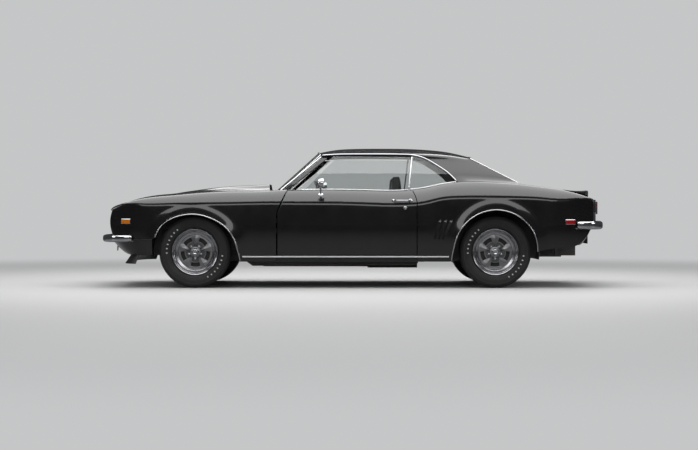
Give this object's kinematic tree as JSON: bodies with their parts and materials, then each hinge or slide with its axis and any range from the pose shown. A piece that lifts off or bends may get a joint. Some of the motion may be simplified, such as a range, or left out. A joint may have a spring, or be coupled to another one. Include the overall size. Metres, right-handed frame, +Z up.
{
  "type": "two-door hardtop coupe",
  "caption": "Black two-door hardtop coupe of the late 1960s; doors, bonnet and boot lid open, front wheels steer with the steering wheel, wheels roll.",
  "frame": {"origin": "on the ground, under the middle of the car's length and width", "axes": "+X forwards, towards the nose; +Y to the car's left; +Z up"},
  "size_m": [4.69, 1.9934, 1.3],
  "materials": {
    "paint": "gloss black",
    "glass": "clear",
    "chrome": "bright plated",
    "dark_steel": "painted black",
    "plastic": "satin black",
    "upholstery": "black vinyl",
    "red_lens": "red lens",
    "clear_lens": "clear lens",
    "tyre": "rubber",
    "wheel_alloy": "grey metallic with polished lip"
  },
  "bodies": {
    "body": {"wing_left": "paint", "wing_right": "paint", "quarter_left": "paint", "quarter_right": "paint", "roof": "paint", "screen_pillars": "paint", "sail_panels": "paint", "deck_panel": "paint", "tail_panel": "paint", "rear_valance": "paint", "front_valance": "paint", "nose_panel": "paint", "windscreen": "glass", "rear_window": "glass", "quarter_glass": "glass", "front_bumper": "chrome", "rear_bumper": "chrome", "floor_pan": "dark_steel", "firewall": "dark_steel", "front_subframe": "dark_steel", "inner_wings": "dark_steel", "rear_axle": "dark_steel", "fuel_tank": "dark_steel", "door_hinges": "dark_steel", "lid_hinges": "dark_steel", "engine": "dark_steel", "driveshaft": "dark_steel", "exhaust": "dark_steel", "plate_bracket": "dark_steel", "chin_spoiler": "plastic", "grille": "plastic", "dashboard": "plastic", "radiator": "plastic", "front_seats": "upholstery", "rear_seat": "upholstery", "tail_lamps": "red_lens", "marker_lamps": "red_lens", "headlamps": "clear_lens"},
    "door_left": {"door_left": "paint", "door_glass_left": "glass", "mirrors_left": "chrome"},
    "door_right": {"door_right": "paint", "door_glass_right": "glass", "mirrors_right": "chrome"},
    "bonnet": {"bonnet": "paint"},
    "boot_lid": {"boot_lid": "paint", "boot_spoiler": "paint"},
    "knuckle_left": {"knuckle_left": "dark_steel"},
    "knuckle_right": {"knuckle_right": "dark_steel"},
    "wheel_front_left": {"tyre_front_left": "tyre", "wheel_front_left": "wheel_alloy"},
    "wheel_front_right": {"tyre_front_right": "tyre", "wheel_front_right": "wheel_alloy"},
    "wheel_rear_left": {"tyre_rear_left": "tyre", "wheel_rear_left": "wheel_alloy"},
    "wheel_rear_right": {"tyre_rear_right": "tyre", "wheel_rear_right": "wheel_alloy"},
    "steering_wheel": {"steering_wheel": "plastic"}
  },
  "joints": [
    {"name": "door_left_hinge", "type": "hinge", "parent": "body", "child": "door_left", "pos_m": [0.697, 0.88578, 0.56], "axis": [0, 0, -1], "range_deg": [0, 60]},
    {"name": "door_right_hinge", "type": "hinge", "parent": "body", "child": "door_right", "pos_m": [0.697, -0.88578, 0.56], "axis": [0, 0, 1], "range_deg": [0, 60]},
    {"name": "bonnet_hinge", "type": "hinge", "parent": "body", "child": "bonnet", "pos_m": [0.73184, 0, 0.88745], "axis": [0, -1, 0], "range_deg": [0, 50]},
    {"name": "boot_hinge", "type": "hinge", "parent": "body", "child": "boot_lid", "pos_m": [-1.678, 0, 0.9242], "axis": [0, 1, 0], "range_deg": [0, 60]},
    {"name": "steer_left", "type": "hinge", "parent": "body", "child": "knuckle_left", "pos_m": [1.441, 0.666, 0.328], "axis": [0, 0, 1], "range_deg": [-32, 32]},
    {"name": "steer_right", "type": "hinge", "parent": "body", "child": "knuckle_right", "pos_m": [1.441, -0.666, 0.328], "axis": [0, 0, 1], "range_deg": [-32, 32]},
    {"name": "spin_front_left", "type": "hinge", "parent": "knuckle_left", "child": "wheel_front_left", "pos_m": [1.441, 0.75, 0.328], "axis": [0, 1, 0], "continuous": true},
    {"name": "spin_front_right", "type": "hinge", "parent": "knuckle_right", "child": "wheel_front_right", "pos_m": [1.441, -0.75, 0.328], "axis": [0, 1, 0], "continuous": true},
    {"name": "spin_rear_left", "type": "hinge", "parent": "body", "child": "wheel_rear_left", "pos_m": [-1.305, 0.75, 0.328], "axis": [0, 1, 0], "continuous": true},
    {"name": "spin_rear_right", "type": "hinge", "parent": "body", "child": "wheel_rear_right", "pos_m": [-1.305, -0.75, 0.328], "axis": [0, 1, 0], "continuous": true},
    {"name": "steering_wheel_turn", "type": "hinge", "parent": "body", "child": "steering_wheel", "pos_m": [0.2814, 0.37638, 0.806], "axis": [0.9272, 0, -0.3746], "range_deg": [-450, 450]}
  ],
  "couplings": [
    {"joint": "steer_right", "follows": "steer_left", "ratio": 1},
    {"joint": "steering_wheel_turn", "follows": "steer_left", "ratio": -14}
  ]
}
